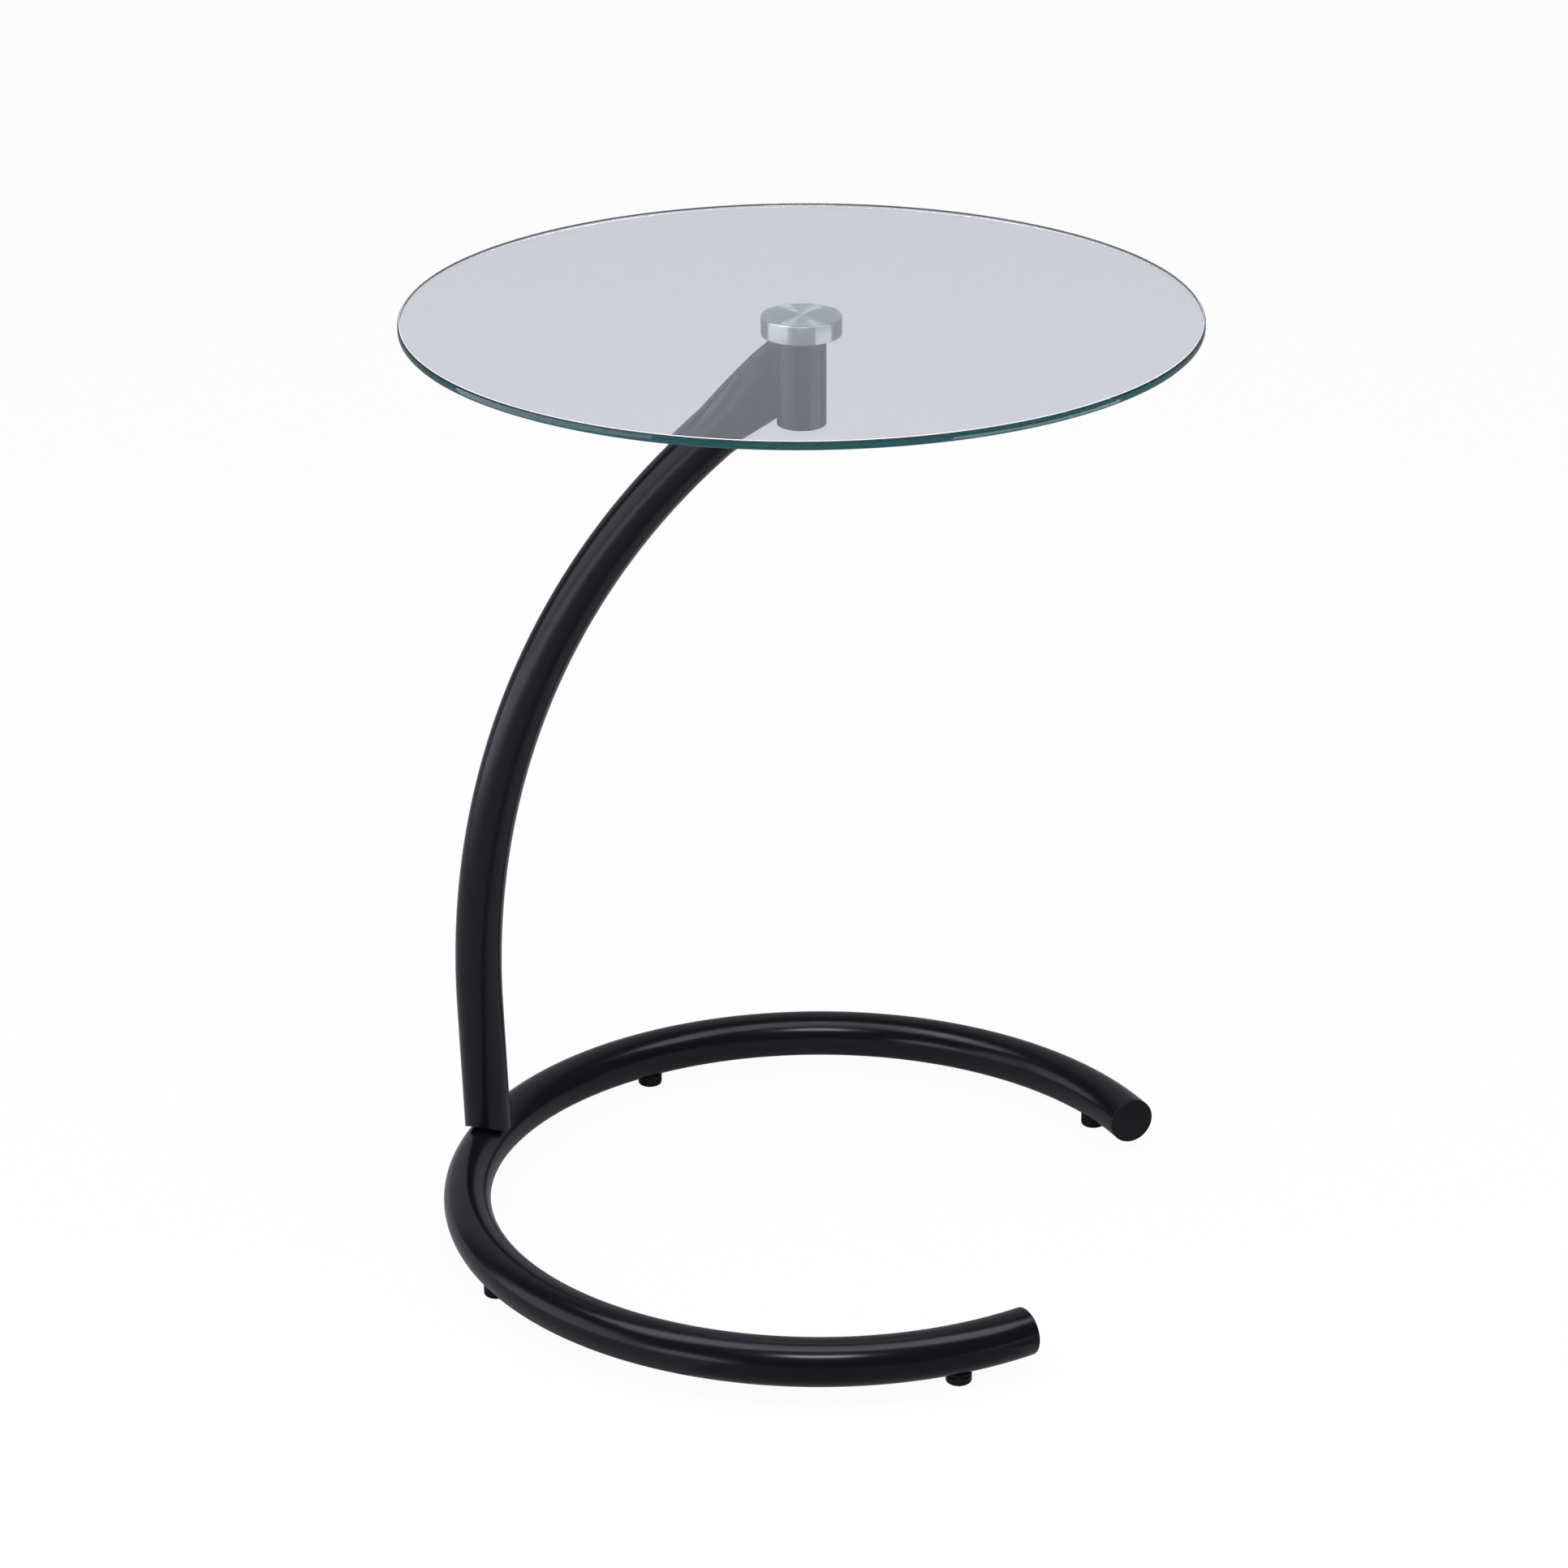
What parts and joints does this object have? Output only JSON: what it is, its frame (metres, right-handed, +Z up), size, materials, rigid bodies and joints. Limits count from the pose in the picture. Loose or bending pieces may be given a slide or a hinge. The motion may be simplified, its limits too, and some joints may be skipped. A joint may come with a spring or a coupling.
{
  "type": "c-shaped side table",
  "caption": "C-shaped side table: round clear glass top on a short post, one curved black tube upright at one side and an open ring base of the same tube on screw-in levelling feet.",
  "frame": {"origin": "on the floor, under the centre of the glass top and of its post", "axes": "+Z up through the post to the glass; the upright stands on the -X side and the C opens to +X; +Y to the left seen from the open side"},
  "size_m": [0.5099, 0.5118, 0.6435],
  "materials": {
    "glass": "clear tempered float glass with ground arrises",
    "adhesive": "clear cured adhesive film",
    "satin_aluminium": "turned and satin polished",
    "black_coat": "satin black powder coat on steel tube",
    "black_plastic": "moulded black plastic, fine matt grain",
    "zinc_steel": "zinc plated"
  },
  "bodies": {
    "table": {"glass_top": "glass", "bond_film": "adhesive", "mount_disc": "satin_aluminium", "post_tube": "black_coat", "post_top_plate": "black_coat", "post_plug": "black_plastic", "top_flat_washer": "zinc_steel", "top_spring_washer": "zinc_steel", "top_bolt": "zinc_steel", "upright_tube": "black_coat", "post_weld_left": "black_coat", "post_weld_right": "black_coat", "upright_insert": "black_coat", "saddle_washer": "zinc_steel", "base_spring_washer": "zinc_steel", "base_bolt": "zinc_steel", "base_ring": "black_coat", "ring_cap_left": "black_plastic", "ring_cap_right": "black_plastic", "foot_insert_1": "black_plastic", "foot_insert_2": "black_plastic", "foot_insert_3": "black_plastic", "foot_insert_4": "black_plastic"},
    "foot_1_pad": {"foot_pad_1": "black_plastic"},
    "foot_1_stud": {"foot_stud_1": "zinc_steel"},
    "foot_2_pad": {"foot_pad_2": "black_plastic"},
    "foot_2_stud": {"foot_stud_2": "zinc_steel"},
    "foot_3_pad": {"foot_pad_3": "black_plastic"},
    "foot_3_stud": {"foot_stud_3": "zinc_steel"},
    "foot_4_pad": {"foot_pad_4": "black_plastic"},
    "foot_4_stud": {"foot_stud_4": "zinc_steel"}
  },
  "joints": [
    {"name": "foot_1_travel", "type": "slide", "parent": "table", "child": "foot_1_pad", "axis": [0, 0, -1], "range_m": [0, 0.006]},
    {"name": "foot_1_screw", "type": "hinge", "parent": "foot_1_pad", "child": "foot_1_stud", "pos_m": [0.15876, 0.18912, 0], "axis": [0, 0, -1], "range_deg": [0, 1728]},
    {"name": "foot_2_travel", "type": "slide", "parent": "table", "child": "foot_2_pad", "axis": [0, 0, -1], "range_m": [0, 0.006]},
    {"name": "foot_2_screw", "type": "hinge", "parent": "foot_2_pad", "child": "foot_2_stud", "pos_m": [-0.16453, 0.16368, 0], "axis": [0, 0, -1], "range_deg": [0, 1728]},
    {"name": "foot_3_travel", "type": "slide", "parent": "table", "child": "foot_3_pad", "axis": [0, 0, -1], "range_m": [0, 0.006]},
    {"name": "foot_3_screw", "type": "hinge", "parent": "foot_3_pad", "child": "foot_3_stud", "pos_m": [-0.16453, -0.16368, 0], "axis": [0, 0, -1], "range_deg": [0, 1728]},
    {"name": "foot_4_travel", "type": "slide", "parent": "table", "child": "foot_4_pad", "axis": [0, 0, -1], "range_m": [0, 0.006]},
    {"name": "foot_4_screw", "type": "hinge", "parent": "foot_4_pad", "child": "foot_4_stud", "pos_m": [0.15876, -0.18912, 0], "axis": [0, 0, -1], "range_deg": [0, 1728]}
  ],
  "couplings": [
    {"joint": "foot_1_screw", "follows": "foot_1_travel", "rad_per_m": 5026.5},
    {"joint": "foot_2_screw", "follows": "foot_2_travel", "rad_per_m": 5026.5},
    {"joint": "foot_3_screw", "follows": "foot_3_travel", "rad_per_m": 5026.5},
    {"joint": "foot_4_screw", "follows": "foot_4_travel", "rad_per_m": 5026.5}
  ]
}
